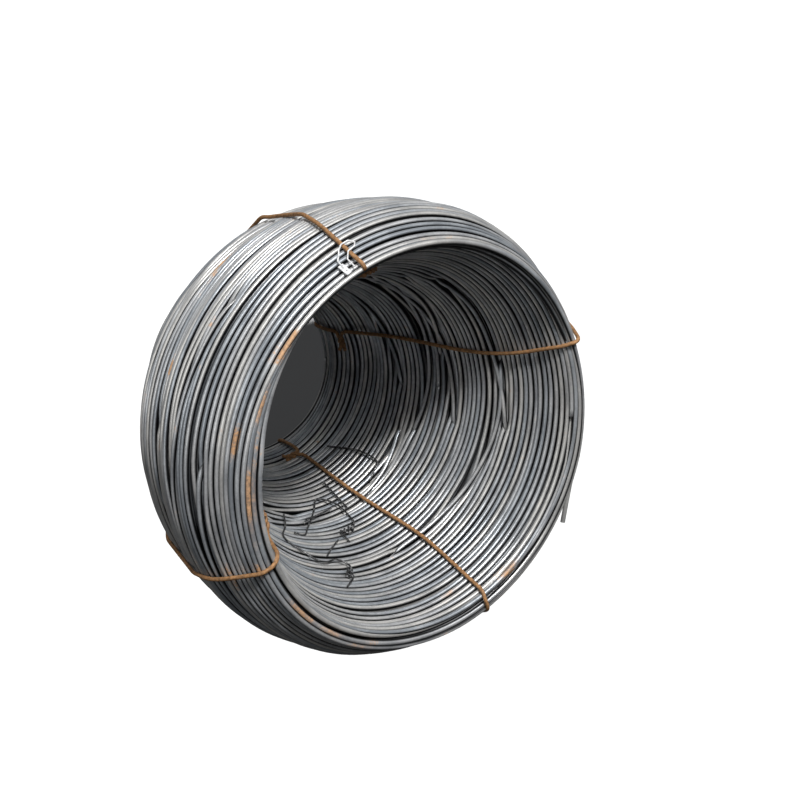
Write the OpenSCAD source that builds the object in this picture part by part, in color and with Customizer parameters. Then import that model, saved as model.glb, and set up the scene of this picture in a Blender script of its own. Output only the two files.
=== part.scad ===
// Coil of wire rod lying on its side: closely wound turns round an open eye, four tie wires round
// the wall, a crimped tag on a thin bright wire, and scraps of binding wire left inside the eye.
// Millimetres. The axis runs along Y, the wide mouth faces -Y and the coil lies on z = 0.
// A place on the coil is a depth behind the mouth, a radius, and an angle round the axis, where
// 0 degrees is towards +X and 90 is up.

/* [Wire rod] */
// Diameter of the wire rod
rod_d = 10; // [8:0.5:12]

/* [Coil] */
// Length of the coil along its axis
coil_len = 660; // [540:10:800]
// Outer radius at the mouth
mouth_r = 400; // [360:5:440]
// Outer radius at the widest turn
belly_r = 455; // [440:5:550]
// Depth behind the mouth where the widest turns begin
belly_depth = 150; // [120:5:180]
// Length of the stretch of widest turns, which the coil lies on
belly_len = 235; // [200:5:270]
// Outer radius at the back
back_r = 300; // [270:5:380]
// Layers of turns in the wall at the mouth
mouth_layers = 4; // [3:1:7]
// Layers of turns in the wall at the back
back_layers = 11; // [8:1:13]
// Length of the straight throat at the back of the eye
throat_len = 60; // [40:5:120]

/* [Free end] */
// Depth of the free end of the rod behind the mouth
tail_depth = 35; // [25:1:80]
// Angle where the free end leaves the turns
tail_angle = -13; // [-40:1:10]
// Length of the straight free end
tail_len = 150; // [120:5:260]

/* [Ties] */
// Diameter of the tie wire
tie_d = 8; // [5.5:0.5:9]
// Angle of the right tie round the axis
right_tie_angle = 22; // [12:1:32]
// Angle of the top tie
top_tie_angle = 112; // [102:1:122]
// Angle of the left tie
left_tie_angle = 206; // [196:1:216]
// Angle of the bottom tie
bottom_tie_angle = 295; // [290:1:300]
// Depth behind the mouth of the twisted knots in the top and left ties
knot_depth = 32; // [26:1:50]
// Depth behind the mouth of the twisted knots in the right and bottom ties
deep_knot_depth = 570; // [480:5:580]
// Turns in each knot
knot_turns = 1.5; // [1:0.5:3]
// Gap between a piece and what it lies on
seat_gap = 0.3; // [0.2:0.05:0.5]

/* [Tag] */
// Diameter of the bright tag wire
tag_wire_d = 3; // [2:0.5:4]
// Length of the crimped tag
tag_len = 24; // [20:1:30]
// Width of the crimped tag
tag_w = 11; // [9:0.5:14]
// Thickness of the crimped tag
tag_t = 2; // [1:0.25:3]
// Diameter of the tag's two holes
tag_hole_d = 2.5; // [1.5:0.1:3]

/* [Loose wire] */
// Diameter of the loose binding wire
loose_d = 4; // [3:0.5:5]

/* [Hidden] */
round_fn = 180;
small_fn = 32;
rod_r = rod_d / 2;
lip_r = mouth_r - mouth_layers * rod_d;
eye_r = back_r - back_layers * rod_d;
axis_z = belly_r;
belly_end = belly_depth + belly_len;
// The grooves between neighbouring end turns are this deep, less than half a rod
groove = 0.35 * rod_d;
outline_steps = 33;
// The free end starts this far inside the turns that it leaves
tail_sink = 0.9 * rod_d;
tube_sides = 8;
arc_steps = 6;
// A tie's middle line stands this far off the turns
tie_off = tie_d / 2 + seat_gap;
// The two strands of a knot wind at this radius, with a hair of clearance between them
twist_r = tie_d / 2 + 0.1;
knot_pitch = 3.2 * tie_d;
knot_steps = 8;
knot_bend = 1.6 * tie_d;
// Places of the tag and its wire: [distance along the turns from the top tie, depth behind the mouth]
tag_place = [34, 17];
tag_wire_off = tag_wire_d / 2 + seat_gap;
over_tag = tag_t + seat_gap;
over_tie = tie_d + seat_gap;
// Routes of the loose wires: [angle, depth behind the mouth, height over what they lie on]
long_route = [
    [249, 380, 0], [243, 326, 0], [237, 283, 0], [239, 258, 0], [243, 240, 0], [248, 221, 0],
    [253, 219, 0], [258, 222, 0], [262, 203, 0], [257, 176, 0], [259, 165, 0], [253, 137, 0]
];
bent_route = [
    [247, 314, 0], [252, 309, 0], [257, 335, 0], [262, 360, 0], [268, 388, 0], [275, 422, 0],
    [281, 384, 0], [281, 330, 0], [279, 311, 0], [275, 295, 0], [271, 306, 0], [271, 272, 0]
];
crossing_route = [[257, 352, 0], [259, 355, 3], [262, 360, 5], [265, 365, 3], [277, 381, 0]];
hooked_route = [[306, 534, 0], [314, 460, 0], [314, 406, 0], [309, 396, 0], [304, 389, 0]];
short_route = [[286, 460, 0], [285, 414, 0], [284, 366, 0]];
stub_route = [[267, 286, 0], [260, 261, 0], [255, 237, 0]];

// --- Shape of the coil ---

// Outer radius at a depth: it swells from the mouth, runs straight and tapers to the back
function outer_r(depth) =
    let (
        swell = (depth - rod_r) / (belly_depth - rod_r),
        taper = (depth - belly_end) / (coil_len - rod_r - belly_end)
    )
    swell < 1 ? mouth_r + (belly_r - mouth_r) * sin(90 * swell)
    : taper < 0 ? belly_r
    : belly_r - (belly_r - back_r) * taper;

// Inner radius at a depth: a cone from the lip to the straight throat
function inner_r(depth) =
    eye_r + (lip_r - eye_r) * max(0, 1 - (depth - rod_r) / (coil_len - throat_len - rod_r));

// Depths of the outline's corners, from the middle of one row of end turns to the other
function outline_depth(i) = rod_r + (coil_len - rod_d) * i / outline_steps;

// A place in the row's frame from depth, radius and angle
function place(depth, r, angle) =
    [r * cos(angle), depth - coil_len / 2, axis_z + r * sin(angle)];

module end_turns(first_r, layers, depth) {
    for (k = [0:layers - 1])
        translate([first_r - rod_r - k * rod_d, depth])
            circle(d = rod_d, $fn = small_fn);
}

module coil_section() {
    polygon(concat(
        [[lip_r + rod_r, groove], [mouth_r - rod_r, groove]],
        [for (i = [0:outline_steps]) [outer_r(outline_depth(i)), outline_depth(i)]],
        [[back_r - rod_r, coil_len - groove], [eye_r + rod_r, coil_len - groove]],
        [for (depth = [coil_len - rod_r, coil_len - throat_len, rod_r]) [inner_r(depth), depth]]
    ));
    end_turns(mouth_r, mouth_layers, rod_r);
    end_turns(back_r, back_layers, coil_len - rod_r);
}

module free_end() {
    translate(place(tail_depth, outer_r(tail_depth) - tail_sink, tail_angle))
        rotate([0, 180 - tail_angle, 0])
            cylinder(h = tail_len, d = rod_d, $fn = small_fn);
}

module wire_rod_coil() {
    color("slategray") {
        translate([0, -coil_len / 2, axis_z])
            rotate([-90, 0, 0])
                rotate_extrude($fn = round_fn)
                    coil_section();
        free_end();
    }
}

// --- Bent wire ---

function unit(v) = v / norm(v);
function heading(p, i) = unit(p[min(i + 1, len(p) - 1)] - p[max(i - 1, 0)]);
function square_to(v, axis) = unit(v - (v * axis) * axis);
function reversed(list) = [for (i = [len(list) - 1:-1:0]) list[i]];

// A direction across the wire at each point, carried along the route without twisting
function carried(p, v, i = 0) = i == len(p)
    ? []
    : let (w = square_to(v, heading(p, i))) concat([w], carried(p, w, i + 1));

// A round wire of diameter d through the points p; across is any direction not along its start
module bent_wire(p, d, across) {
    side = carried(p, across);
    last = len(p) - 1;
    points = [for (i = [0:last]) for (k = [0:tube_sides - 1])
        let (t = 360 * k / tube_sides)
            p[i] + d / 2 * (cos(t) * side[i] + sin(t) * cross(heading(p, i), side[i]))];
    walls = [for (i = [0:last - 1]) for (k = [0:tube_sides - 1])
        let (a = i * tube_sides, next = (k + 1) % tube_sides)
            each [[a + k, a + next, a + tube_sides + next],
                [a + k, a + tube_sides + next, a + tube_sides + k]]];
    start_cap = [for (k = [tube_sides - 1:-1:0]) k];
    end_cap = [for (k = [0:tube_sides - 1]) last * tube_sides + k];
    polyhedron(points = points, faces = concat([start_cap], walls, [end_cap]), convexity = 10);
}

// --- Ties ---

// The direction square to the outline at a corner, as [radius, depth]
function outline_normal(i) =
    let (
        a = outline_depth(max(i - 1, 0)),
        b = outline_depth(min(i + 1, outline_steps))
    )
    unit([b - a, outer_r(a) - outer_r(b)]);
function lean(i) = atan2(outline_normal(i)[1], outline_normal(i)[0]);

// The tie's bend round an end turn, as [radius, depth] points
function bend(r, depth, from, to) = [
    for (i = [0:arc_steps])
        let (t = from + (to - from) * i / arc_steps)
            [r, depth] + (rod_r + tie_off) * [cos(t), sin(t)]
];

// The tie's way from the eye's wall round the mouth, along the outside and round the back
tie_section = concat(
    [[inner_r(rod_r) - tie_off, rod_r]],
    bend(lip_r + rod_r, rod_r, 205, 270),
    bend(mouth_r - rod_r, rod_r, 270, 360 + lean(0)),
    [for (i = [0:outline_steps])
        [outer_r(outline_depth(i)), outline_depth(i)] + tie_off * outline_normal(i)],
    bend(back_r - rod_r, coil_len - rod_r, lean(outline_steps), 90),
    bend(eye_r + rod_r, coil_len - rod_r, 90, 180),
    [[eye_r - tie_off, coil_len - throat_len]]
);

// One strand of the knot: side is -1 for the one from the mouth and 1 for the one from the back.
// Points are [distance along the turns, depth, height over the wall].
function knot_strand(side, middle) = concat(
    [
        [0, middle + side * (twist_r + knot_bend), tie_off],
        [0.3 * knot_bend, middle + side * (twist_r + 0.3 * knot_bend), tie_off + 0.2 * tie_d]
    ],
    [for (i = [0:knot_turns * knot_steps])
        let (t = 360 * i / knot_steps)
            [
                knot_bend + knot_pitch * i / knot_steps,
                middle + side * twist_r * cos(t),
                tie_off + twist_r + side * twist_r * sin(t)
            ]]
);

// A place inside the eye from [distance along the turns, depth, height over the wall]
function inside(q, angle) =
    let (r = inner_r(q[1]) - q[2])
    place(q[1], r, angle - q[0] / r * 180 / PI);

module tie(angle, middle) {
    color("chocolate")
        bent_wire(
            concat(
                reversed([for (q = knot_strand(-1, middle)) inside(q, angle)]),
                [for (q = tie_section) place(q[1], q[0], angle)],
                [for (q = knot_strand(1, middle)) inside(q, angle)]
            ),
            tie_d,
            [0, 1, 0]
        );
}

// --- Tag ---

// A place outside the coil from [distance along the turns, depth, height over the turns]
function outside(q, angle) =
    let (
        slope = atan2(outer_r(q[1] + 1) - outer_r(q[1] - 1), 2),
        r = outer_r(q[1]) + q[2] * cos(slope)
    )
    place(q[1] - q[2] * sin(slope), r, angle + q[0] / r * 180 / PI);

module tag() {
    centre = outside([tag_place[0], tag_place[1], seat_gap + tag_t / 2], top_tie_angle);
    turn = top_tie_angle + tag_place[0] / outer_r(tag_place[1]) * 180 / PI;
    slope = atan2(outer_r(tag_place[1] + 1) - outer_r(tag_place[1] - 1), 2);
    color("gainsboro")
        translate(centre)
            rotate([0, -turn, 0])
                rotate([0, 0, -slope])
                    difference() {
                        cube([tag_t, tag_len, tag_w], center = true);
                        for (y = [-tag_len / 5, tag_len / 5])
                            translate([0, y, 0])
                                rotate([0, 90, 0])
                                    cylinder(h = 2 * tag_t, d = tag_hole_d, center = true, $fn = small_fn);
                    }
}

module tag_wire() {
    across = tag_place[0];
    end = tag_place[1];
    route = [
        [across, end + 2, over_tag + tag_wire_off],
        [across, end + tag_len / 2, over_tag + tag_wire_off],
        [across - 2, end + tag_len / 2 + 7, tag_wire_off],
        [across - 12, end + 27, tag_wire_off + 1],
        [2 * tie_d, end + 33, tag_wire_off + 3],
        [tie_d, end + 36, over_tie + tag_wire_off],
        [-tie_d, end + 36, over_tie + tag_wire_off],
        [-2 * tie_d, end + 28, over_tie / 2 + tag_wire_off + 2],
        [-tie_d, end + 21, over_tie + tag_wire_off],
        [tie_d, end + 19, over_tie + tag_wire_off],
        [2 * tie_d, end + 12, tag_wire_off],
        [2 * tie_d + 1, end - 6, tag_wire_off]
    ];
    color("silver")
        bent_wire([for (q = route) outside(q, top_tie_angle)], tag_wire_d, [1, 0, 0]);
}

// --- Loose wire ---

module loose_wire(route) {
    off = loose_d / 2 + seat_gap;
    color("dimgray")
        bent_wire(
            [for (q = route) place(q[1], inner_r(q[1]) - off - q[2], q[0])],
            loose_d,
            [1, 0, 0]
        );
}

wire_rod_coil();
tie(right_tie_angle, deep_knot_depth);  // tie_right
tie(top_tie_angle, knot_depth);  // tie_top
tie(left_tie_angle, knot_depth);  // tie_left
tie(bottom_tie_angle, deep_knot_depth);  // tie_bottom
tag();
tag_wire();
loose_wire(long_route);  // loose_wire_long
loose_wire(bent_route);  // loose_wire_bent
loose_wire(crossing_route);  // loose_wire_crossing
loose_wire(hooked_route);  // loose_wire_hooked
loose_wire(short_route);  // loose_wire_short
loose_wire(stub_route);  // loose_wire_stub
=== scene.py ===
"""Looks of a coil of hot-rolled wire rod: its turns, ties, tag, loose wire, finishes and stage.

Lengths are in metres. The coil's axis runs along Y, its wide mouth faces -Y and it lies on z = 0.
A place on the coil is a depth behind the mouth, a radius, and an angle round the axis, where 0 is
towards +X and a quarter of a turn is up.
"""

from math import cos, pi, radians, sin, tau

import bmesh
import bpy
import numpy as np
from mathutils import Matrix, Vector


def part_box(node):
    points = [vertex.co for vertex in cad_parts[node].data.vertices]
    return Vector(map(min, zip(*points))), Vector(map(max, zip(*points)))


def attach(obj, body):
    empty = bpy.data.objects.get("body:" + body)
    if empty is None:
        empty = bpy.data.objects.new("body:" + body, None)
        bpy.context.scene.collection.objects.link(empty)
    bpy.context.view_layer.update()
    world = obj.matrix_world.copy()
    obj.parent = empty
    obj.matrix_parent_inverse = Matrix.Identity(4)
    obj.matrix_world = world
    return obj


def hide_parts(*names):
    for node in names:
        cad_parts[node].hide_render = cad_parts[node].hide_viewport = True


bl_info = {
    "name": "Coil of Wire Rod",
    "version": (1, 0, 0),
    "blender": (4, 5, 0),
    "location": "3D View > Sidebar > Wire Rod",
    "description": "Builds the turns, ties, tag and finishes of a coil of wire rod",
    "category": "Object",
}

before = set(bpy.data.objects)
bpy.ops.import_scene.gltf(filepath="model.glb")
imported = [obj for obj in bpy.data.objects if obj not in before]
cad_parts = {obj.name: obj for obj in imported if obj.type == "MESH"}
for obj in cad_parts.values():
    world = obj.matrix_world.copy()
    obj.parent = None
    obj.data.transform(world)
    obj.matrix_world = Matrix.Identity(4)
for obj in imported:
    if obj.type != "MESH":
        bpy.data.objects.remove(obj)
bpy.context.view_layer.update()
COIL_LOW, COIL_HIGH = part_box("wire_rod_coil")
AXIS_Z = COIL_HIGH.z / 2
COIL_LEN = COIL_HIGH.y - COIL_LOW.y
BELLY_R = COIL_HIGH.z / 2
LOOSE_D = 0.004
SLIM_SIDE = radians(138)  # the side where the turns behind the front sit in most
THIN_SIDE = radians(84)  # the side where the lip is thinnest
LIP_FLARE = 0.026  # how much wider the eye opens there
LIP_REACH = 0.20  # how far along the wall of the eye that opening fades
UNDER_INSET = 0.95  # how deep the lower layer lies, in rod diameters
CORE_INSET = 1.9  # how deep the wall's dark middle starts, in rod diameters
GAP_FADE = 0.045  # how far along the wall the turns beside a gap give way to it
OWN_SINK = 0.0016  # how far a single turn sinks by itself
RIDER_DEPTH = 0.014  # how far a crossing turn's ends go under the surface
END_DEPTH = 0.011  # how far the last turn's end sinks
TIE_SEAT = 0.0012  # how far a tie settles between the turns
KNOT_STEPS = 12  # straight steps in a turn of a tie's knot


# --- Sizes that a user would change ---


class CoilShape(bpy.types.PropertyGroup):
    rod_d: bpy.props.FloatProperty(
        name="Rod diameter", description="Diameter of the wire rod", default=0.010, min=0.004,
        max=0.02, unit="LENGTH")
    mouth_r: bpy.props.FloatProperty(
        name="Mouth radius", description="Outer radius at the mouth", default=0.400, unit="LENGTH")
    lip_r: bpy.props.FloatProperty(
        name="Lip radius", description="Radius of the eye at the mouth", default=0.360,
        unit="LENGTH")
    belly_start: bpy.props.FloatProperty(
        name="Belly start", description="Depth where the widest turns begin", default=0.150,
        unit="LENGTH")
    belly_end: bpy.props.FloatProperty(
        name="Belly end", description="Depth where the widest turns end", default=0.385,
        unit="LENGTH")
    back_r: bpy.props.FloatProperty(
        name="Back radius", description="Outer radius at the back", default=0.300, unit="LENGTH")
    eye_r: bpy.props.FloatProperty(
        name="Eye radius", description="Radius of the eye at the back", default=0.190,
        unit="LENGTH")
    throat_len: bpy.props.FloatProperty(
        name="Throat", description="Length of the straight end of the eye", default=0.060,
        unit="LENGTH")
    slim: bpy.props.FloatProperty(
        name="Slimmer top", description="How far the upper turns behind the belly sit in",
        default=0.036, unit="LENGTH")
    tail_depth: bpy.props.FloatProperty(
        name="Free end depth", description="Depth of the rod's free end", default=0.035,
        unit="LENGTH")
    tail_angle: bpy.props.FloatProperty(
        name="Free end angle", description="Where the free end leaves the turns",
        default=radians(-13), subtype="ANGLE")
    tail_len: bpy.props.FloatProperty(
        name="Free end length", description="Length of the straight free end", default=0.150,
        unit="LENGTH")


class LayStyle(bpy.types.PropertyGroup):
    outer_turns: bpy.props.IntProperty(
        name="Outer turns", description="Turns on the outside", default=57, min=20, max=90)
    bore_turns: bpy.props.IntProperty(
        name="Bore turns", description="Turns on the wall of the eye", default=54, min=20, max=80)
    steps: bpy.props.IntProperty(
        name="Steps", description="Straight steps in a turn", default=144, min=48, max=200)
    sides: bpy.props.IntProperty(
        name="Sides", description="Sides of the round rod", default=10, min=6, max=12)
    wander: bpy.props.FloatProperty(
        name="Wander", description="How far one turn strays along the wall", default=0.006,
        unit="LENGTH")
    drift: bpy.props.FloatProperty(
        name="Drift", description="How far a group of turns strays along the wall", default=0.013,
        unit="LENGTH")
    sink: bpy.props.FloatProperty(
        name="Sink", description="How far a group of turns sinks into the wall", default=0.006,
        unit="LENGTH")


class TieShape(bpy.types.PropertyGroup):
    tie_d: bpy.props.FloatProperty(
        name="Tie diameter", description="Diameter of the tie wire", default=0.008, min=0.004,
        max=0.012, unit="LENGTH")
    knot_depth: bpy.props.FloatProperty(
        name="Knot depth", description="Depth of the top tie's knot; the left tie's is deeper",
        default=0.032, unit="LENGTH")
    deep_knot_depth: bpy.props.FloatProperty(
        name="Deep knot depth", description="Depth of the right and bottom ties' knots",
        default=0.570, unit="LENGTH")
    knot_turns: bpy.props.FloatProperty(
        name="Knot turns", description="Turns in each knot", default=1.0, min=0.5, max=4)


class Finish(bpy.types.PropertyGroup):
    scale_light: bpy.props.FloatVectorProperty(
        name="Light mill scale", description="Pale tone of the rod", subtype="COLOR",
        default=(0.60, 0.605, 0.61), min=0, max=1)
    scale_dark: bpy.props.FloatVectorProperty(
        name="Dark mill scale", description="Dark tone of the rod", subtype="COLOR",
        default=(0.30, 0.31, 0.325), min=0, max=1)
    rust: bpy.props.FloatVectorProperty(
        name="Rust", description="Colour of fresh rust", subtype="COLOR",
        default=(0.42, 0.215, 0.08), min=0, max=1)
    tie: bpy.props.FloatVectorProperty(
        name="Tie wire", description="Colour of the rusted ties", subtype="COLOR",
        default=(0.29, 0.15, 0.062), min=0, max=1)
    floor: bpy.props.FloatVectorProperty(
        name="Floor", description="Colour of the studio floor in its shade", subtype="COLOR",
        default=(0.12, 0.12, 0.12), min=0, max=1)


# --- The coil's section ---


def outer_radius(depth, shape):
    """Outer radius of the coil at a depth: it swells, runs straight and tapers."""
    rod_r = shape.rod_d / 2
    swell = np.clip((depth - rod_r) / (shape.belly_start - rod_r), 0, 1)
    taper = np.clip((depth - shape.belly_end) / (COIL_LEN - rod_r - shape.belly_end), 0, 1)
    return (shape.mouth_r + (BELLY_R - shape.mouth_r) * np.sin(pi / 2 * swell)
            - (BELLY_R - shape.back_r) * taper)


def inner_radius(depth, shape):
    """Radius of the eye at a depth: a cone from the lip to the straight throat."""
    rod_r = shape.rod_d / 2
    along = np.clip(1 - (depth - rod_r) / (COIL_LEN - shape.throat_len - rod_r), 0, 1)
    return shape.eye_r + (shape.lip_r - shape.eye_r) * along


def section(shape, inset):
    """The closed line round the wall's section, inset from its surface, and its four corners.

    Gives columns of distance along the line, radius, depth and the normal out of the wall.
    """
    rod_r, side_steps, lip_steps, back_steps = shape.rod_d / 2, 200, 12, 20
    outside = np.linspace(rod_r, COIL_LEN - rod_r, side_steps)
    inside = outside[::-1]
    runs = [
        np.stack([np.linspace(shape.lip_r + rod_r, shape.mouth_r - rod_r, lip_steps),
                  np.full(lip_steps, rod_r)], 1),
        np.stack([outer_radius(outside, shape) - rod_r, outside], 1),
        np.stack([np.linspace(shape.back_r - rod_r, shape.eye_r + rod_r, back_steps),
                  np.full(back_steps, COIL_LEN - rod_r)], 1),
        np.stack([inner_radius(inside, shape) + rod_r, inside], 1),
    ]
    line = np.concatenate([run[:-1] for run in runs] + [runs[0][:1]])
    ahead = np.roll(line[:-1], -1, 0) - np.roll(line[:-1], 1, 0)
    ahead = np.concatenate([ahead, ahead[:1]])
    normal = np.stack([ahead[:, 1], -ahead[:, 0]], 1)
    normal /= np.linalg.norm(normal, axis=1)[:, None]
    reach = np.concatenate([[0], np.cumsum(np.linalg.norm(np.diff(line, axis=0), axis=1))])
    corners = np.cumsum([0] + [len(run) - 1 for run in runs])
    line = line - normal * inset
    return np.column_stack([reach, line, normal]), reach[corners]


def on_section(table, reach):
    """Radius, depth and outward normal at distances along the section's closed line."""
    place = np.mod(reach, table[-1, 0])
    return [np.interp(place, table[:, 0], table[:, i]) for i in range(1, 5)]


def upper_side(angle):
    """1 over the coil's upper left side, fading to 0 over its lower right side."""
    return np.clip(0.5 + 0.9 * np.cos(angle - SLIM_SIDE), 0, 1)


def slimmer(depth, angle, shape):
    """How far the turns behind the front sit inside the full shape, at a place.

    It grows over the back half of the belly, and again at its end on the left.
    """
    rise = np.clip((depth - 0.20) / 0.16, 0, 1)
    fall = np.clip((COIL_LEN - depth) / (COIL_LEN - shape.belly_end), 0, 1)
    late = np.clip((depth - 0.36) / 0.10, 0, 1) * np.clip(-np.cos(angle) + 0.2, 0, 1)
    return shape.slim * upper_side(angle) * (rise * (0.45 + 0.55 * fall) + 0.6 * late)


def shifted(radius, depth, reach, angle, corner, shape):
    """Moves turns in where the wall is slim, and out and back where the lip is thin."""
    share = np.clip((corner[3] - np.mod(reach, corner[-1])) / (corner[3] - corner[2]), 0, 1)
    thin = flare(reach, angle, corner)
    return radius + thin - share * slimmer(depth, angle, shape), depth + thin


def flare(reach, angle, corner):
    """How much wider the eye opens at the top of the mouth, where the lip is thin."""
    turn = np.mod(angle - THIN_SIDE + pi, tau) - pi
    top = np.clip(1.3 * np.cos(0.9 * turn) - 0.25, 0, 1)
    around = corner[-1]
    place, off = np.mod(reach, around), np.mod(-reach, around)
    front = place < corner[1]
    lip = np.where(front, 1 - place / corner[1],
                   np.clip(1 - np.minimum(place, off) / LIP_REACH, 0, 1))
    return LIP_FLARE * top * lip * ((place > corner[3]) | front)


# --- How the turns lie ---


def waves(rng, reach, angle, count, longest, shortest, most_lobes):
    """Smooth noise over the wall, about -1 to 1, that closes on itself round the axis."""
    total = np.zeros_like(reach)
    for _ in range(count):
        lobes = rng.integers(1, most_lobes + 1) * rng.choice([-1, 1])
        length = longest * (shortest / longest) ** rng.random()
        share = np.sqrt(length / longest)
        total += share * np.cos(lobes * angle + tau * reach / length + tau * rng.random())
    return 1.6 * total / np.sqrt(count)


def strays(rng, size, every):
    """Smooth noise along the rod, about -1 to 1, with a new value every so many steps."""
    knots = rng.normal(0, 0.6, size // every + 4)
    noise = np.interp(np.arange(size) / every, np.arange(len(knots)), knots)
    window = np.hanning(every + 2)
    padded = np.pad(noise, every, mode="edge")
    return np.convolve(padded, window / window.sum(), "same")[every:every + size]


def settle(reach, steps, least, rounds):
    """Pushes neighbouring turns apart where they lie closer than the least spacing."""
    reach, push, ease = reach.copy(), 0.9, 0.25
    for _ in range(rounds):
        short = np.maximum(0, least - (reach[steps:] - reach[:-steps])) / 2
        reach[:-steps] -= short * push
        reach[steps:] += short * push
        reach[1:-1] += ease * (reach[2:] + reach[:-2] - 2 * reach[1:-1])
    return reach


# Gaps between groups of turns: (distance along the section, slope per turn, angle in degrees,
# half length in degrees, half opening)
GAPS = [
    (0.375, 0.10, 120, 42, 0.010), (0.300, -0.16, 175, 30, 0.006), (0.170, 0.12, 150, 36, 0.004),
    (0.240, -0.10, 95, 30, 0.005), (0.470, 0.12, 150, 50, 0.007), (0.140, -0.09, 205, 28, 0.004),
    (0.410, -0.14, 240, 40, 0.006), (0.520, 0.10, 60, 60, 0.006), (0.300, 0.10, 30, 50, 0.005),
    (0.450, -0.10, 330, 60, 0.006), (0.230, 0.12, 320, 40, 0.005), (0.600, -0.10, 200, 60, 0.006),
    (1.060, 0.14, 20, 40, 0.006), (1.140, -0.12, 350, 40, 0.005), (1.230, 0.12, 40, 36, 0.005),
    (1.300, -0.14, 300, 40, 0.005), (1.180, 0.10, 250, 50, 0.005), (1.350, 0.12, 10, 36, 0.004),
    (1.010, -0.10, 180, 60, 0.006), (1.260, 0.10, 130, 60, 0.005),
]
# Turns that ride over the rest: (distance along the section where the ride starts, the way along
# the section to where it ends, start angle in degrees, length in degrees)
RIDERS = [
    (0.190, 0.045, 130, 120), (0.265, -0.050, 95, 150), (0.345, 0.040, 80, 170),
    (0.300, 0.050, 165, 110), (0.330, -0.060, 190, 120), (0.130, 0.030, 170, 110),
    (0.420, -0.050, 60, 200), (0.500, 0.050, 10, 220), (0.410, 0.060, 300, 200),
    (0.560, -0.060, 150, 220), (0.250, -0.040, 290, 130),
    (1.120, 0.075, 330, 110), (1.230, -0.080, 340, 95), (1.180, 0.060, 10, 90),
    (1.290, 0.050, 280, 100), (1.070, -0.050, 350, 120), (1.350, -0.045, 345, 80),
    (1.150, -0.060, 230, 110), (1.260, 0.060, 60, 120), (1.050, 0.050, 90, 180),
]


def apart(reach, angle):
    """Opens the gaps: moves the turns on both sides of each one away from it."""
    moved = np.zeros_like(reach)
    for at, slope, middle, half, opening in GAPS:
        turn = np.mod(angle - radians(middle) + pi, tau) - pi
        off = reach - at - slope * turn / tau
        fade = np.exp(-(turn / radians(half)) ** 2)
        moved += opening * fade * np.tanh(off / 0.004) * np.exp(-np.abs(off) / GAP_FADE)
    return reach + moved


def eased(share):
    """0 to 1 with a soft start and end."""
    return share * share * (3 - 2 * share)


def off_ends(share):
    """0 at both ends of a ride, rising to 1 over the first and last tenth of it."""
    return np.clip(10 * np.minimum(share, 1 - share), 0, 1)


def ride_line(rider, angle):
    """Where a rider runs at an angle, and its share of the way, which is outside 0 to 1 off it."""
    start, along, first, length = rider
    share = np.mod(angle - radians(first), tau) / radians(length)
    sway = 0.006 * np.sin(share * 7 + start * 90)
    return start + along * np.clip(share, 0, 1) + sway, share


def hollows(reach, angle, style):
    """How far the turns of both layers lie under the full shape."""
    sink = waves(np.random.default_rng(31), reach, angle, 14, 0.25, 0.06, 3)
    return style.sink * np.clip(0.35 + 0.45 * sink, 0, 1.2)


def pressed(reach, angle, rod_d):
    """How far the turns sink under the riders that cross them."""
    deep = np.zeros_like(reach)
    for rider in RIDERS:
        line, share = ride_line(rider, angle)
        near = np.clip(1.25 - np.abs(reach - line) / (1.6 * rod_d), 0, 1)
        deep = np.maximum(deep, 0.98 * rod_d * eased(near) * eased(off_ends(share)))
    return deep


def ride_way(rider, table, corner, style):
    """A rider's way: it rises out of the wall, runs over the turns and goes back in."""
    steps = style.steps
    count = int(steps * rider[3] / 360)
    turn = radians(rider[2]) / tau + np.arange(count + 1) / steps
    line, _ = ride_line(rider, np.clip(tau * turn, tau * turn[0] + 1e-6, tau * turn[-1] - 1e-6))
    ends = eased(off_ends(np.linspace(0, 1, count + 1)))
    height = -RIDER_DEPTH * (1 - ends) - 0.0006 - hollows(line, tau * turn, style)
    return {"table": table, "corner": corner, "turn_at": np.array([0, 1]), "turn": turn,
            "angle": tau * turn, "reach": line, "height": height, "steps": steps}


def chain(shape, style):
    """The rod's way over the whole surface: lip, outside, back and bore, turn by turn."""
    table, corner = section(shape, 0)
    rng = np.random.default_rng(11)
    lip_turns = round((corner[1] - corner[0]) / shape.rod_d)
    back_turns = round((corner[3] - corner[2]) / shape.rod_d)
    counts = [lip_turns, style.outer_turns, back_turns, style.bore_turns]
    turn_at = np.concatenate([[0], np.cumsum(counts)])
    steps = style.steps
    turn = np.arange(turn_at[-1] * steps + 1) / steps
    angle = tau * turn
    reach = np.interp(turn, turn_at, corner)
    drift = waves(rng, reach, angle, 14, 0.5, 0.10, 3)
    wander = strays(rng, len(turn), steps // 5)
    reach = reach + style.drift * drift * 0.6 + style.wander * wander
    reach = settle(apart(reach, angle), steps, shape.rod_d * 1.02, 900)
    own = strays(rng, len(turn), steps // 4)
    height = -hollows(reach, angle, style) - OWN_SINK * np.abs(own)
    height = height - pressed(reach, angle, shape.rod_d)
    height = height - END_DEPTH * eased(np.clip(1 - 20 * (turn[-1] - turn), 0, 1))
    return {"table": table, "corner": corner, "turn_at": turn_at, "turn": turn, "angle": angle,
            "reach": reach, "height": height, "steps": steps}


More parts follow.
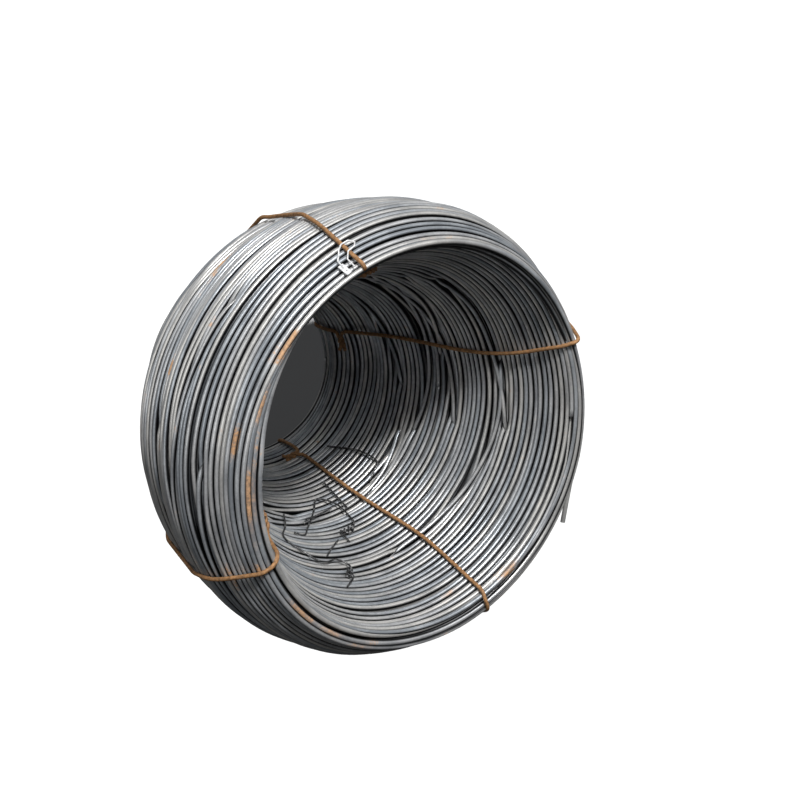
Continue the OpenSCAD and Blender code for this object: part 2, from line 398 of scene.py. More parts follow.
def under_chain(shape, style):
    """The turns just below the surface, which show in the gaps."""
    table, corner = section(shape, UNDER_INSET * shape.rod_d)
    rng = np.random.default_rng(23)
    turns = int(0.93 * corner[-1] / shape.rod_d)
    steps = style.steps * 2 // 3
    turn = np.arange(turns * steps + 1) / steps
    angle = tau * turn
    reach = corner[-1] * turn / turns + 0.5 * style.drift * waves(rng, turn, angle, 8, 12, 4, 3)
    reach = settle(reach + 0.004 * strays(rng, len(turn), steps // 4), steps,
                   shape.rod_d * 0.97, 30)
    height = -0.003 * np.abs(waves(rng, reach, angle, 10, 0.2, 0.05, 3))
    height = height - hollows(reach, angle, style) - pressed(reach, angle, shape.rod_d)
    return {"table": table, "corner": corner, "turn_at": np.array([0, turns]), "turn": turn,
            "angle": angle, "reach": reach, "height": height, "steps": steps}


def placed(radius, depth, angle):
    """Places in the model's frame from radius, depth and angle."""
    return np.stack([radius * np.cos(angle), depth - COIL_LEN / 2,
                     AXIS_Z + radius * np.sin(angle)], -1)


def above(table, corner, reach, height, angle, shape):
    """Radius and depth of a place at a height over the turns' middle line."""
    radius, depth, normal_r, normal_d = on_section(table, reach)
    return shifted(radius + height * normal_r, depth + height * normal_d, reach, angle, corner,
                   shape)


def lie(way, shape, index):
    """Radius, depth and angle of the rod's middle at the numbered steps of its way."""
    reach, height, angle = (way[key][index] for key in ("reach", "height", "angle"))
    return *above(way["table"], way["corner"], reach, height, angle, shape), angle


# --- Mesh helpers ---


def as_mesh(name, bm):
    """A mesh from a bmesh, which is freed."""
    mesh = bpy.data.meshes.new(name)
    bm.to_mesh(mesh)
    bm.free()
    return mesh


def dress(data, material):
    """Gives a mesh or curve its one material."""
    data.materials.clear()
    data.materials.append(material)


def in_scene(name, data):
    """A new object in the scene."""
    thing = bpy.data.objects.new(name, data)
    bpy.context.scene.collection.objects.link(thing)
    return thing


def add_piece(name, data, material, node):
    """A piece with its finish that rides on the coil's body and stands in for a CAD node."""
    piece = in_scene(name, data)
    dress(data, material)
    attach(piece, "root")
    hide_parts(node)
    return piece


def wound_rod(name, way, shape, sides, first, last, material):
    """A stretch of the rod, from one turn to another, wound as its way says.

    A spin makes an even spring of radius 1, and each of its points then moves to its place.
    """
    steps, rod_r, rise = way["steps"], shape.rod_d / 2, 4 * shape.rod_d
    bm = bmesh.new()
    for k in range(last - first):
        bmesh.ops.create_circle(bm, cap_ends=False, segments=sides, radius=rod_r,
                                matrix=Matrix.Translation((1, k * rise, 0)))
    bmesh.ops.spin(bm, geom=bm.verts[:] + bm.edges[:], cent=(0, 0, 0), axis=(0, -1, 0),
                   dvec=(0, rise / steps, 0), angle=tau, steps=steps, use_merge=False)
    bmesh.ops.remove_doubles(bm, verts=bm.verts[:], dist=rod_r / 50)
    bmesh.ops.holes_fill(bm, edges=[e for e in bm.edges if e.is_boundary], sides=sides)
    bmesh.ops.recalc_face_normals(bm, faces=bm.faces[:])
    mesh = as_mesh(name, bm)
    x, y, z = points_of(mesh).T
    part = np.mod(np.arctan2(z, x), tau) / tau
    level = y / rise - part
    whole = np.round(level)
    index = np.round((first + whole + part) * steps).astype(int)
    index = np.clip(index, 0, len(way["turn"]) - 1)
    radius, depth, angle = lie(way, shape, index)
    out, along = np.hypot(x, z) - 1, (level - whole) * rise
    mesh.vertices.foreach_set("co", placed(radius + out, depth + along, angle).ravel())
    mesh.update()
    # The open note, how far each point faces out of the wall, sets the painted shade between the
    # turns.
    _, _, normal_r, normal_d = on_section(way["table"], way["reach"][index])
    note(mesh, open=(out * normal_r + along * normal_d) / rod_r, turn=way["turn"][index],
         rust=rust_at(way, index))
    mesh.shade_smooth()
    for face in mesh.polygons:
        face.use_smooth = len(face.vertices) == 4
    return add_piece(name, mesh, material, "wire_rod_coil")


def points_of(mesh):
    """The places of a mesh's points, a row for each."""
    co = np.empty(len(mesh.vertices) * 3)
    mesh.vertices.foreach_get("co", co)
    return co.reshape(-1, 3)


def note(mesh, **notes):
    """Keeps numbers for each point on the mesh, for its finish."""
    for name, values in notes.items():
        attribute = mesh.attributes.new(name, "FLOAT", "POINT")
        attribute.data.foreach_set("value", np.asarray(values, np.float32))


# Rust patches: (distance along the section, angle in degrees, half length along the section,
# half width in degrees, strength)
RUST = [
    (0.034, 140, 0.012, 5.5, 0.95), (0.024, 157, 0.012, 8.0, 0.85), (0.028, 183, 0.005, 16, 0.9),
    (0.016, 180, 0.005, 12, 0.7), (0.345, 128, 0.012, 7, 0.8), (0.372, 122, 0.010, 6, 0.7),
    (0.335, 134, 0.008, 6, 0.7), (0.300, 176, 0.010, 3, 0.9), (0.305, 158, 0.010, 3, 0.7),
    (0.018, 222, 0.006, 9, 0.8), (0.022, 236, 0.010, 9, 0.75), (0.026, 247, 0.010, 8, 0.7),
    (0.060, 168, 0.008, 7, 0.6), (0.110, 205, 0.012, 6, 0.6), (0.045, 203, 0.014, 5, 0.7),
    (1.505, 306, 0.012, 7, 0.75), (1.455, 286, 0.015, 6, 0.6), (0.048, 91, 0.012, 6, 0.65),
    (0.080, 55, 0.010, 5, 0.6), (0.600, 60, 0.020, 8, 0.75), (0.780, 200, 0.030, 10, 0.75),
    (0.450, 320, 0.020, 7, 0.7), (0.690, 120, 0.020, 8, 0.75), (0.800, 300, 0.020, 12, 0.75),
    (0.250, 20, 0.015, 8, 0.75), (0.560, 230, 0.020, 8, 0.75), (0.760, 40, 0.025, 9, 0.75),
    (0.180, 340, 0.012, 9, 0.7), (0.330, 355, 0.012, 6, 0.7), (0.520, 200, 0.012, 7, 0.7),
]


def rust_at(way, index):
    """How rusty the rod is at the numbered steps of its way, 0 to 1."""
    around = way["corner"][-1]
    reach, angle = way["reach"][index], np.degrees(way["angle"][index])
    total = np.zeros(len(index))
    for at_reach, at_angle, half_reach, half_angle, strength in RUST:
        turn = np.mod(angle - at_angle + 180, 360) - 180
        off = np.mod(reach - at_reach + around / 2, around) - around / 2
        total = np.maximum(total, strength * np.exp(
            -(off / half_reach) ** 2 - (turn / half_angle) ** 2))
    return total


# --- Finishes ---


class Nodes:
    """Short ways to add and join nodes in one tree."""

    def __init__(self, tree):
        self.tree = tree

    def add(self, kind, **settings):
        """A new node, whose settings are values for its sockets or its own choices."""
        node = self.tree.nodes.new(kind)
        for name, value in settings.items():
            if name in node.inputs:
                node.inputs[name].default_value = value
            else:
                setattr(node, name, value)
        return node

    def join(self, output, target):
        self.tree.links.new(output, target)

    def give(self, socket, value):
        """Links a socket to another, or sets it to a number or a colour."""
        if isinstance(value, bpy.types.NodeSocket):
            self.join(value, socket)
        else:
            socket.default_value = value if isinstance(value, (int, float)) else (*value, 1)

    def math(self, operation, a, b, clamp=False):
        node = self.add("ShaderNodeMath", operation=operation, use_clamp=clamp)
        self.give(node.inputs[0], a)
        self.give(node.inputs[1], b)
        return node.outputs[0]

    def weighed(self, *parts):
        """The sum of values, each times its weight."""
        total = 0.0
        for value, weight in parts:
            total = self.math("ADD", total, self.math("MULTIPLY", value, weight))
        return total

    def fade(self, value, low, high, result_low=0.0, result_high=1.0):
        """A soft step from one result to the other as the value goes from low to high."""
        node = self.add("ShaderNodeMapRange", interpolation_type="SMOOTHSTEP")
        self.join(value, node.inputs["Value"])
        for name, bound in (("From Min", low), ("From Max", high), ("To Min", result_low),
                            ("To Max", result_high)):
            node.inputs[name].default_value = bound
        return node.outputs["Result"]

    def ramp(self, value, *stops):
        """Colours at places from 0 to 1, picked by a value."""
        node = self.add("ShaderNodeValToRGB")
        node.color_ramp.elements.remove(node.color_ramp.elements[0])
        for i, (place, colour) in enumerate(stops):
            if i == 0:
                element = node.color_ramp.elements[0]
                element.position = place
            else:
                element = node.color_ramp.elements.new(place)
            element.color = (*colour, 1)
        self.join(value, node.inputs["Fac"])
        return node.outputs["Color"]

    def mix(self, factor, a, b, blend="MIX"):
        node = self.add("ShaderNodeMix", data_type="RGBA", blend_type=blend)
        for place, value in ((0, factor), (6, a), (7, b)):
            self.give(node.inputs[place], value)
        return node.outputs[2]


def new_group(name, inputs, outputs):
    """A shader node group with named sockets, and the ways to fill it."""
    group = bpy.data.node_groups.new(name, "ShaderNodeTree")
    for label, kind in inputs:
        group.interface.new_socket(name=label, in_out="INPUT", socket_type=kind)
    for label, kind in outputs:
        group.interface.new_socket(name=label, in_out="OUTPUT", socket_type=kind)
    nodes = Nodes(group)
    return group, nodes, nodes.add("NodeGroupInput").outputs, nodes.add("NodeGroupOutput").inputs


def weathering_group():
    """Tones of each turn, streaks along the rod, rust edges and pits."""
    number = "NodeSocketFloat"
    group, nodes, given, result = new_group(
        "Weathered Steel", [("Place", "NodeSocketVector"), ("Turn", number), ("Rust", number),
                            ("Spots", number)],
        [("Tone", number), ("Streak", number), ("Grain", number), ("Rust", number),
         ("Height", number)])
    tone = nodes.add("ShaderNodeTexNoise", noise_dimensions="1D", Scale=2.3, Detail=1.0)
    streak = nodes.add("ShaderNodeTexNoise", noise_dimensions="1D", Scale=29.0, Detail=3.0)
    for noise in (tone, streak):
        nodes.join(given["Turn"], noise.inputs["W"])
    grain = nodes.add("ShaderNodeTexNoise", Scale=160.0, Detail=4.0, Roughness=0.7)
    pits = nodes.add("ShaderNodeTexNoise", Scale=520.0, Detail=2.0)
    for noise in (grain, pits):
        nodes.join(given["Place"], noise.inputs["Vector"])
    nodes.join(tone.outputs["Fac"], result["Tone"])
    nodes.join(streak.outputs["Fac"], result["Streak"])
    nodes.join(grain.outputs["Fac"], result["Grain"])
    ragged = nodes.weighed((streak.outputs["Fac"], 1.3), (grain.outputs["Fac"], 0.7))
    patch = nodes.math("MULTIPLY", given["Rust"], nodes.math("MULTIPLY", ragged, 1.25))
    spots = nodes.math("MULTIPLY", nodes.math("SUBTRACT", ragged, 1.12, True), given["Spots"])
    edge = nodes.fade(nodes.math("ADD", patch, spots), 0.42, 1.15)
    nodes.join(edge, result["Rust"])
    nodes.join(nodes.weighed((pits.outputs["Fac"], 1.0), (edge, 0.5)), result["Height"])
    return group


def find_weathering():
    """The weathering group, built once."""
    return bpy.data.node_groups.get("Weathered Steel") or weathering_group()


def shaded(name, metallic, roughness):
    """A new material, its nodes and its shader, with plain values on the shader's sockets."""
    material = bpy.data.materials.new(name)
    material.use_nodes = True
    nodes = Nodes(material.node_tree)
    shader = material.node_tree.nodes["Principled BSDF"]
    shader.inputs["Metallic"].default_value = metallic
    shader.inputs["Roughness"].default_value = roughness
    return material, nodes, shader


def weathered(nodes, shader, group, spots, bump):
    """Places the weathering group and a bump from its height; gives its outputs."""
    worn = nodes.add("ShaderNodeGroup", node_tree=group)
    nodes.join(nodes.add("ShaderNodeTexCoord").outputs["Object"], worn.inputs["Place"])
    for name in ("Turn", "Rust"):
        noted = nodes.add("ShaderNodeAttribute", attribute_name=name.lower())
        nodes.join(noted.outputs["Fac"], worn.inputs[name])
    worn.inputs["Spots"].default_value = spots
    relief = nodes.add("ShaderNodeBump", Strength=bump, Distance=0.0006)
    nodes.join(worn.outputs["Height"], relief.inputs["Height"])
    nodes.join(relief.outputs["Normal"], shader.inputs["Normal"])
    return worn.outputs


def mill_scale(finish, group, name="Mill Scale Rod", shade=1.0):
    """Hot-rolled rod: grey mill scale with rust, in painted shade near black between the turns; a
    shade below 1 gives a darker copy in painted shade.
    """
    material, nodes, shader = shaded(name, 0.55, 0.4)
    worn = weathered(nodes, shader, group, 2.4, 0.3)
    # A shade below 1 darkens every tone: a copy of this finish in painted shade.
    light = tuple(c * shade for c in finish.scale_light)
    dark = tuple(c * shade for c in finish.scale_dark)
    share = nodes.weighed((worn["Tone"], 0.40), (worn["Streak"], 0.35), (worn["Grain"], 0.25))
    grey = nodes.mix(nodes.ramp(share, (0.38, (0, 0, 0)), (0.62, (1, 1, 1))), dark, light)
    cast = nodes.ramp(worn["Tone"], (0.40, (0.86, 0.94, 1.0)), (0.5, (1.0, 1.0, 1.0)),
                      (0.60, (1.0, 0.95, 0.86)))
    grey = nodes.mix(0.5, grey, cast, "MULTIPLY")
    rust = tuple(c * shade for c in finish.rust)
    rusty = nodes.ramp(worn["Grain"], (0.35, tuple(c * 0.45 for c in rust)), (0.5, rust),
                       (0.65, tuple(min(1, c * 1.4) for c in rust)))
    coat = nodes.math("MULTIPLY", worn["Rust"], 0.85)
    face = nodes.mix(coat, grey, rusty)
    # Painted shade: the base colour goes near black where the rod faces its neighbours or the
    # wall, as the open note says.
    opened = nodes.add("ShaderNodeAttribute", attribute_name="open")
    unshaded_share = nodes.fade(opened.outputs["Fac"], 0.12, 0.80)
    nodes.join(nodes.mix(unshaded_share, (0.008, 0.008, 0.009), face), shader.inputs["Base Color"])
    nodes.join(nodes.math("ADD", nodes.weighed((worn["Streak"], 0.20), (coat, 0.35)), 0.24),
               shader.inputs["Roughness"])
    nodes.join(nodes.math("MULTIPLY", nodes.math("SUBTRACT", 1.0, coat), 0.5),
               shader.inputs["Metallic"])
    return material


def rusted_wire(finish, group):
    """Tie wire under a coat of rust, darker where it is rubbed."""
    material, nodes, shader = shaded("Rusted Tie Wire", 0.1, 0.7)
    worn = weathered(nodes, shader, group, 1.0, 0.5)
    tie = tuple(finish.tie)
    colour = nodes.ramp(worn["Grain"], (0.3, tuple(c * 0.4 for c in tie)), (0.5, tie),
                        (0.68, tuple(min(1, c * 1.6) for c in tie)))
    nodes.join(colour, shader.inputs["Base Color"])
    return material


def painted_shade_core(group):
    """The wall's middle as a near-black sheet in painted shade, seen only deep between turns."""
    material, nodes, shader = shaded("Wall Core", 0.0, 0.9)
    worn = weathered(nodes, shader, group, 0.0, 0.1)
    nodes.join(nodes.ramp(worn["Grain"], (0.3, (0.010, 0.010, 0.011)),
                          (0.7, (0.025, 0.025, 0.025))), shader.inputs["Base Color"])
    return material


def bright_metal(group):
    """Bright galvanised tag and tag wire, lightly scuffed."""
    material, nodes, shader = shaded("Bright Tag Metal", 0.35, 0.35)
    worn = weathered(nodes, shader, group, 0.0, 0.3)
    nodes.join(nodes.ramp(worn["Grain"], (0.35, (0.66, 0.67, 0.69)), (0.6, (0.95, 0.95, 0.94))),
               shader.inputs["Base Color"])
    nodes.join(nodes.math("MULTIPLY", worn["Grain"], 0.7), shader.inputs["Roughness"])
    return material


def black_wire(group):
    """Annealed binding wire, dark where its scale holds and rubbed grey elsewhere."""
    material, nodes, shader = shaded("Binding Wire", 0.6, 0.38)
    worn = weathered(nodes, shader, group, 0.0, 0.3)
    nodes.join(nodes.ramp(worn["Grain"], (0.40, (0.02, 0.02, 0.022)), (0.56, (0.10, 0.10, 0.102)),
                          (0.68, (0.45, 0.45, 0.44))), shader.inputs["Base Color"])
    return material


# --- Bent wire ---


def rounded(points, per_leg):
    """The points with smooth bends between them, by a spline through every point."""
    points = np.asarray(points, float)
    padded = np.concatenate([[2 * points[0] - points[1]], points, [2 * points[-1] - points[-2]]])
    out = []
    for a, b, c, d in zip(padded, padded[1:], padded[2:], padded[3:]):
        for t in np.arange(per_leg) / per_leg:
            out.append(0.5 * (2 * b + (c - a) * t + (2 * a - 5 * b + 4 * c - d) * t ** 2
                              + (3 * b - a - 3 * c + d) * t ** 3))
    return np.array(out + [points[-1]])


def bent_wire(name, points, diameter, material, node):
    """A round wire with closed ends through the points, which are places in metres."""
    curve = bpy.data.curves.new(name, "CURVE")
    curve.dimensions = "3D"
    curve.bevel_depth, curve.bevel_resolution = diameter / 2, 3
    curve.use_fill_caps = True
    spline = curve.splines.new("POLY")
    spline.points.add(len(points) - 1)
    for at, place in zip(spline.points, points):
        at.co = (*place, 1)
    spline.use_smooth = True
    return add_piece(name, curve, material, node)


def bent_rod(name, points, out, turn, rust, diameter, material, bare=-1.0):
    """A length of the rod through the points, with the same notes for its finish as the turns.

    out is the direction out of the wall at each point; bare is the least note of openness, and a
    high one keeps the painted shade between the turns off.
    """
    piece = bent_wire(name, points, diameter, material, "wire_rod_coil")
    mesh = bpy.data.meshes.new_from_object(piece)
    bpy.data.objects.remove(piece)
    co = points_of(mesh)
    near = np.argmin(((co[:, None] - points[None]) ** 2).sum(2), 1)
    opened = ((co - points[near]) * out[near]).sum(1) / (diameter / 2)
    note(mesh, open=np.maximum(opened, bare), turn=turn[near], rust=rust[near])
    mesh.shade_smooth()
    return add_piece(name, mesh, material, "wire_rod_coil")


def smoothed(points, width):
    """The points averaged with their neighbours, which rounds the corners of their line."""
    window = np.hanning(width + 2)
    padded = np.pad(points, ((width // 2 + 1, width // 2 + 1), (0, 0)), mode="edge")
    return np.stack([np.convolve(column, window / window.sum(), "valid")
                     for column in padded.T], 1)


# Routes of the loose wires: (angle in degrees, depth, height over the wall in rod diameters)
LOOSE_WIRES = {
    "loose_wire_long": [
        (249, 0.380, 0), (243, 0.326, 0.3), (237, 0.283, 0), (239, 0.258, 0), (243, 0.240, 0.2),
        (248, 0.221, 0), (253, 0.219, 0), (258, 0.222, 0.3), (262, 0.203, 0), (257, 0.176, 0.4),
        (259, 0.165, 0.4), (253, 0.137, 0)],
    "loose_wire_bent": [
        (247, 0.314, 0), (252, 0.309, 0), (257, 0.335, 0.1), (262, 0.360, 0), (268, 0.388, 0.3),
        (275, 0.422, 0), (281, 0.384, 0.2), (281, 0.330, 0), (279, 0.311, 0.2), (275, 0.295, 0),
        (271, 0.306, 0.4), (271, 0.272, 0)],
    "loose_wire_crossing": [
        (257, 0.352, 0), (259, 0.355, 0.5), (262, 0.360, 0.6), (265, 0.365, 0.5),
        (277, 0.381, 0)],
    "loose_wire_hooked": [
        (306, 0.534, 0), (314, 0.460, 0), (314, 0.406, 0), (309, 0.396, 0), (304, 0.389, 0)],
    "loose_wire_short": [(286, 0.460, 0), (285, 0.414, 0), (284, 0.366, 0)],
    "loose_wire_stub": [(267, 0.286, 0), (260, 0.261, 0), (255, 0.237, 0)],
}
# Twists on the loose wires: (the wire, start and end of the twist as angle and depth)
TWISTS = [
    ("loose_wire_long", (260, 0.188), (257, 0.160)),
    ("loose_wire_bent", (278, 0.306), (272, 0.300)),
]


def wall_place(angle, depth, height, shape):
    """A place over the wall of the eye, from degrees, depth and height over the turns."""
    return placed(inner_radius(depth, shape) - height, depth, np.radians(angle))


# Each tie: how many knot depths its knot lies behind the mouth, or 0 for a deep knot, and its
# angles in degrees at distances along the section, because it lies a little askew
TIES = {
    "tie_right": (0, [(0, 24), (0.4, 22), (0.8, 27), (1.07, 25), (1.25, 20), (1.38, 20),
                      (1.5, 24)]),
    "tie_top": (1, [(0, 112.5), (0.12, 112.5), (0.27, 108.5), (0.4, 107.5), (0.8, 112),
                    (1.5, 112.5)]),
    "tie_left": (2.7, [(0, 202), (0.12, 205), (0.27, 210), (0.4, 213), (0.9, 206), (1.5, 201)]),
    "tie_bottom": (0, [(0, 293), (0.3, 294), (0.8, 291), (1.1, 293), (1.3, 297), (1.5, 294)]),
}


def tie_route(shape, tie, knot_share, bends):
    """The way of one tie: a twisted knot, all round the wall, and back to the knot."""
    table, corner = section(shape, 0)
    rod_r, tie_r = shape.rod_d / 2, tie.tie_d / 2
    around = corner[-1]
    middle = tie.knot_depth * knot_share or tie.deep_knot_depth
    slant = (around - corner[3]) / (COIL_LEN - shape.rod_d)
    knot = around - (middle - rod_r) * slant
    twist_r, bend, pitch = 1.02 * tie_r, 1.5 * tie.tie_d, 3.2 * tie.tie_d
    even = np.linspace(0, 1.52, 153)
    askew = smoothed(np.interp(even, *zip(*bends))[:, None], 19)[:, 0]

    def lay(reach, height, along):
        angle = np.radians(np.interp(np.mod(reach, around), even, askew))
        radius, depth = above(table, corner, reach, rod_r + height, angle, shape)
        return placed(radius, depth, angle - along / radius)

    def strand(side):
        t = np.arange(int(KNOT_STEPS * tie.knot_turns) + 1) / KNOT_STEPS
        lift = tie_r + twist_r + side * twist_r * np.sin(tau * t)
        along = np.concatenate([[0.3 * bend], bend + pitch * t,
                                [bend + pitch * (t[-1] + 0.25)]])
        across = np.concatenate([[side * (twist_r + 0.3 * bend)],
                                 side * twist_r * np.cos(tau * t), [side * 2.2 * twist_r]])
        lift = np.concatenate([[tie_r + 0.2 * tie_r], lift, [lift[-1] + tie_r]])
        return lay(knot + across, lift, along)

    step, wall_steps = twist_r + bend, 420
    round_wall = np.linspace(knot - around + step, knot - step, wall_steps)
    walls = lay(round_wall, tie_r - TIE_SEAT, 0.0)
    return np.concatenate([strand(1)[::-1], smoothed(walls, 9), strand(-1)])


# --- Operators ---


class BuildCoil(bpy.types.Operator):
    """Wind the rod's turns over the whole coil"""

    bl_idname = "wire_rod.build_coil"
    bl_label = "Turns"

    def execute(self, context):
        shape, style = context.scene.coil_shape, context.scene.coil_lay
        group = find_weathering()
        steel = mill_scale(context.scene.coil_finish, group)
        way = chain(shape, style)
        start = [int(turn) for turn in way["turn_at"]]
        halfway_out, halfway_in = (start[1] + start[2]) // 2, (start[3] + start[4]) // 2
        for name, first, last in (
            ("turns_outside_front", 0, halfway_out), ("turns_outside_back", halfway_out, start[2]),
            ("turns_back_end", start[2], start[3]), ("turns_bore_back", start[3], halfway_in),
            ("turns_bore_front", halfway_in, start[4]),
        ):
            wound_rod(name, way, shape, style.sides, first, last, steel)
        self.riders(shape, style, steel)
        under = under_chain(shape, style)
        # The lower layer gets the rod's finish at about a third of its brightness: painted shade
        # for turns deep in the gaps.
        painted_shade_steel = mill_scale(context.scene.coil_finish, group, "Shaded Rod", 0.35)
        turns = int(under["turn_at"][-1])
        for name, first, last in (("turns_below_outside", 0, turns // 2),
                                  ("turns_below_bore", turns // 2, turns)):
            wound_rod(name, under, shape, 6, first, last, painted_shade_steel)
        self.core(shape, group)
        return {"FINISHED"}

    def riders(self, shape, style, steel):
        """The turns that cross over the rest."""
        table, corner = section(shape, 0)
        for number, rider in enumerate(RIDERS):
            way = ride_way(rider, table, corner, style)
            index = np.arange(len(way["turn"]))
            radius, depth, angle = lie(way, shape, index)
            _, _, normal_r, normal_d = on_section(table, way["reach"])
            out = np.stack([normal_r * np.cos(angle), normal_d, normal_r * np.sin(angle)], 1)
            # Where a rider goes under the turns its openness note shrinks to nothing, so it takes
            # the painted shade between the turns.
            under = way["height"] + hollows(way["reach"], way["angle"], style)
            out *= np.clip(1.4 + under / (0.6 * shape.rod_d), 0, 1)[:, None]
            bent_rod(f"rider_turn_{number + 1:02d}", placed(radius, depth, angle), out,
                     way["turn"] + 7.3 * number, rust_at(way, index), shape.rod_d, steel)

    def core(self, shape, group):
        """The wall's middle, a sheet in painted shade: the section inset past the turns, spun
        about the axis.
        """
        table, corner = section(shape, CORE_INSET * shape.rod_d)
        bm = bmesh.new()
        along = bm.verts.layers.float.new("reach")
        ring = []
        for row in table[:-1:6]:
            ring.append(bm.verts.new((row[1], row[2], 0)))
            ring[-1][along] = row[0]
        edges = [bm.edges.new((a, b)) for a, b in zip(ring, ring[1:] + ring[:1])]
        bmesh.ops.spin(bm, geom=ring + edges, cent=(0, 0, 0), axis=(0, 1, 0), dvec=(0, 0, 0),
                       angle=tau, steps=96, use_merge=True)
        bmesh.ops.remove_doubles(bm, verts=bm.verts[:], dist=1e-5)
        for vert in bm.verts:
            radius, angle = np.hypot(vert.co.x, vert.co.z), np.arctan2(vert.co.z, vert.co.x)
            radius, depth = shifted(radius, vert.co.y, vert[along], angle, corner, shape)
            vert.co = placed(radius, depth, angle)
        bmesh.ops.recalc_face_normals(bm, faces=bm.faces[:])
        mesh = as_mesh("wall_core", bm)
        mesh.shade_smooth()
        add_piece("wall_core", mesh, painted_shade_core(group), "wire_rod_coil")


class BuildFreeEnd(bpy.types.Operator):
    """Let the rod's free end leave the turns near the mouth"""

    bl_idname = "wire_rod.build_free_end"
    bl_label = "Free End"

    def execute(self, context):
        shape = context.scene.coil_shape
        depth, start = shape.tail_depth, shape.tail_angle
        radius = float(outer_radius(depth, shape)) + shape.rod_d * 0.4
        before = np.linspace(1, 0, 18)
        turn = start + radians(34) * before
        sunk = 1.4 * shape.rod_d * before
        along = placed(radius - sunk, np.full_like(turn, depth), turn)
        ahead = np.array([sin(start), 0, -cos(start)])
        outward = np.array([cos(start), 0, sin(start)])
        run = np.linspace(0, shape.tail_len, 12)[1:]
        straight = along[-1] + run[:, None] * ahead + (run[:, None] ** 2 * 0.25) * outward
        points = np.concatenate([along, straight])
        out = np.tile(outward, (len(points), 1))
        # The free end counts as open all round, so it gets none of the painted shade between the
        # turns.
        bent_rod("rod_free_end", points, out, np.linspace(0, 0.2, len(points)),
                 np.zeros(len(points)), shape.rod_d, bpy.data.materials["Mill Scale Rod"], 1.0)
        return {"FINISHED"}


class BuildTies(bpy.types.Operator):
    """Draw the four rusty ties round the wall and twist their knots"""

    bl_idname = "wire_rod.build_ties"
    bl_label = "Ties"

    def execute(self, context):
        wire = rusted_wire(context.scene.coil_finish, find_weathering())
        shape, tie = context.scene.coil_shape, context.scene.coil_ties
        for node, (knot_share, bends) in TIES.items():
            route = tie_route(shape, tie, knot_share, bends)
            bent_wire("rusty_" + node, route, tie.tie_d, wire, node)
        return {"FINISHED"}


class FinishSmallParts(bpy.types.Operator):
    """Give the tag, its wire and the loose wires their finishes"""

    bl_idname = "wire_rod.finish_small_parts"
    bl_label = "Tag and Loose Wire"

    def execute(self, context):
        group = find_weathering()
        bright, black = bright_metal(group), black_wire(group)
        for node in ("tag", "tag_wire"):
            dress(bpy.data.objects[node].data, bright)
        shape = context.scene.coil_shape
        half = LOOSE_D / 2
        for node, route in LOOSE_WIRES.items():
            angle, depth, height = np.array(route).T
            points = wall_place(angle, depth, half + height * shape.rod_d, shape)
            bent_wire("bent_" + node, rounded(points, 5), LOOSE_D, black, node)
        for number, (node, first, last) in enumerate(TWISTS):
            share = np.linspace(0, 1, 33)
            line = wall_place(np.interp(share, (0, 1), (first[0], last[0])),
                              np.interp(share, (0, 1), (first[1], last[1])), 1.8 * LOOSE_D, shape)
            ahead = line[-1] - line[0]
            side = np.cross(ahead, (0, 0, 1))
            side /= np.linalg.norm(side)
            up = np.cross(side, ahead) / np.linalg.norm(ahead)
            turn = (tau * 2.5 * share)[:, None]
            points = line + 1.05 * LOOSE_D * (np.cos(turn) * side + np.sin(turn) * up)
            bent_wire(f"twist_{number + 1}_of_{node}", points, LOOSE_D, black,
                      node)
        return {"FINISHED"}


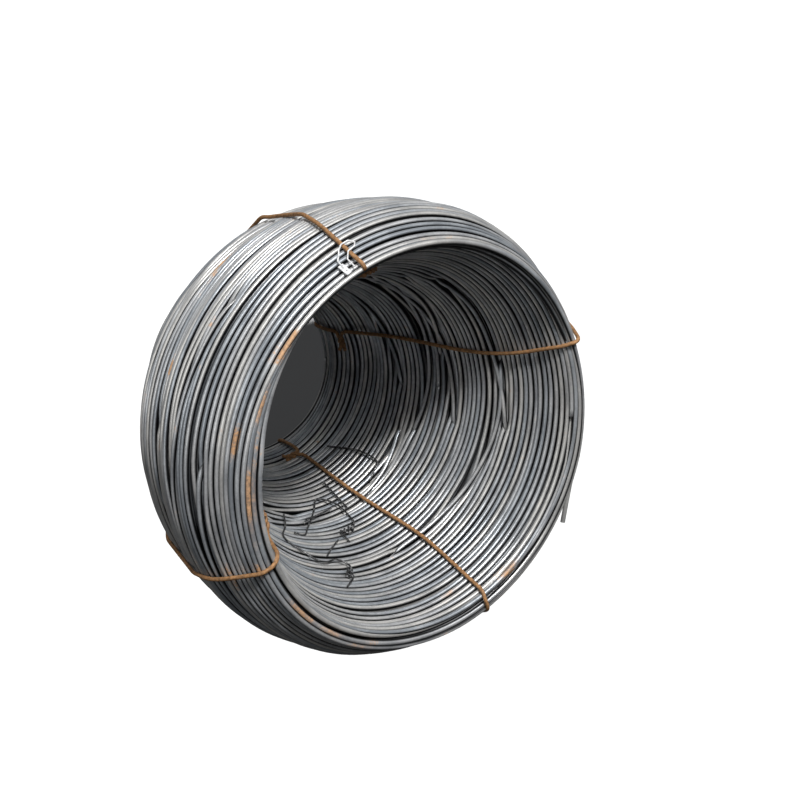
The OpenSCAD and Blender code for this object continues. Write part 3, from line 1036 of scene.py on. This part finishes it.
class BuildStage(bpy.types.Operator):
    """Lay the floor, which its own sun makes pale, and set the soft lights and the camera"""

    bl_idname = "wire_rod.build_stage"
    bl_label = "Stage"

    def execute(self, context):
        floor = self.floor(context)
        self.light("overhead_light", (0.4, -2.4, 3.0), floor, size=2.6, power=34)
        self.light("left_light", (-4.2, -1.4, 1.4), floor, size=3.0, power=45)
        self.sun("key_light", (-0.38, -1.10, 1.42), floor, "EXCLUDE", strength=3.5, spread=7)
        self.sun("floor_light", (-0.560, -0.772, 0.3007), floor, "INCLUDE", strength=80,
                 spread=1.5)
        self.air(context)
        context.scene.view_settings.view_transform = "Standard"
        self.camera(context)
        return {"FINISHED"}

    def floor(self, context):
        """A wide plain floor that throws no light back at the coil."""
        bm = bmesh.new()
        bmesh.ops.create_grid(bm, x_segments=1, y_segments=1, size=200)
        floor = in_scene("studio_floor", as_mesh("studio_floor", bm))
        material, _, shader = shaded("Studio Floor", 0.0, 0.9)
        shader.inputs["Base Color"].default_value = (*context.scene.coil_finish.floor, 1)
        dress(floor.data, material)
        floor.visible_diffuse = floor.visible_glossy = False
        return floor

    def air(self, context):
        """Soft light from all round, stronger from above, with a white backdrop."""
        world = bpy.data.worlds.new("studio_air")
        world.use_nodes = True
        nodes = Nodes(world.node_tree)
        air = world.node_tree.nodes["Background"]
        air.inputs["Color"].default_value = (0.95, 0.97, 1.0, 1)
        way = nodes.add("ShaderNodeSeparateXYZ")
        nodes.join(nodes.add("ShaderNodeTexCoord").outputs["Generated"], way.inputs["Vector"])
        glow = nodes.fade(way.outputs["Z"], -0.20, 0.70, 0.02, 0.30)
        seen = nodes.add("ShaderNodeLightPath").outputs["Is Camera Ray"]
        nodes.join(nodes.math("MAXIMUM", glow, seen), air.inputs["Strength"])
        context.scene.world = world

    def facing(self, place):
        """The turn that points a light from a place at the coil's middle."""
        return (-Vector(place)).to_track_quat("-Z", "Y").to_euler()

    def shine(self, light, floor, state):
        """Keeps a light off the floor, or on the floor alone."""
        group = bpy.data.collections.new(light.name + "_reach")
        group.objects.link(floor)
        group.collection_objects[0].light_linking.link_state = state
        light.light_linking.receiver_collection = group

    def sun(self, name, place, floor, state, strength, spread):
        data = bpy.data.lights.new(name, "SUN")
        data.energy, data.angle = strength, radians(spread)
        light = in_scene(name, data)
        light.rotation_euler = self.facing(place)
        self.shine(light, floor, state)

    def light(self, name, place, floor, size, power):
        data = bpy.data.lights.new(name, "AREA")
        data.shape, data.size, data.energy = "DISK", size, power
        light = in_scene(name, data)
        light.location = place
        light.rotation_euler = self.facing(Vector(place) - Vector((0, 0, AXIS_Z)))
        self.shine(light, floor, "EXCLUDE")

    def camera(self, context):
        turn, rise, distance = radians(-33.8), radians(17.6), 2.80
        data = bpy.data.cameras.new("camera")
        data.sensor_width, data.lens = 36, 61.1
        data.shift_x, data.shift_y = 0.0845, 0.009
        camera = in_scene("camera", data)
        aim = Vector((0, 0, AXIS_Z))
        back = Vector((sin(turn) * cos(rise), -cos(turn) * cos(rise), sin(rise)))
        camera.location = aim + back * distance
        camera.rotation_euler = (-back).to_track_quat("-Z", "Y").to_euler()
        context.scene.camera = camera


class WireRodPanel(bpy.types.Panel):
    """Buttons and sizes of the coil of wire rod"""

    bl_idname = "VIEW3D_PT_wire_rod"
    bl_label = "Coil of Wire Rod"
    bl_space_type = "VIEW_3D"
    bl_region_type = "UI"
    bl_category = "Wire Rod"

    def draw(self, context):
        for group, sizes in SETTINGS.items():
            box = self.layout.box()
            for name in sizes.__annotations__:
                box.prop(getattr(context.scene, group), name)
        for operator in STEPS:
            self.layout.operator(operator.bl_idname)


SETTINGS = {"coil_shape": CoilShape, "coil_lay": LayStyle, "coil_ties": TieShape,
            "coil_finish": Finish}
STEPS = (BuildCoil, BuildFreeEnd, BuildTies, FinishSmallParts, BuildStage)
CLASSES = (*SETTINGS.values(), *STEPS, WireRodPanel)


def register():
    for each in CLASSES:
        bpy.utils.register_class(each)
    for name, group in SETTINGS.items():
        setattr(bpy.types.Scene, name, bpy.props.PointerProperty(type=group))


def unregister():
    for name in SETTINGS:
        delattr(bpy.types.Scene, name)
    for each in reversed(CLASSES):
        bpy.utils.unregister_class(each)


def main():
    register()
    for operator in STEPS:
        group, name = operator.bl_idname.split(".")
        getattr(getattr(bpy.ops, group), name)()


if __name__ == "__main__":
    main()
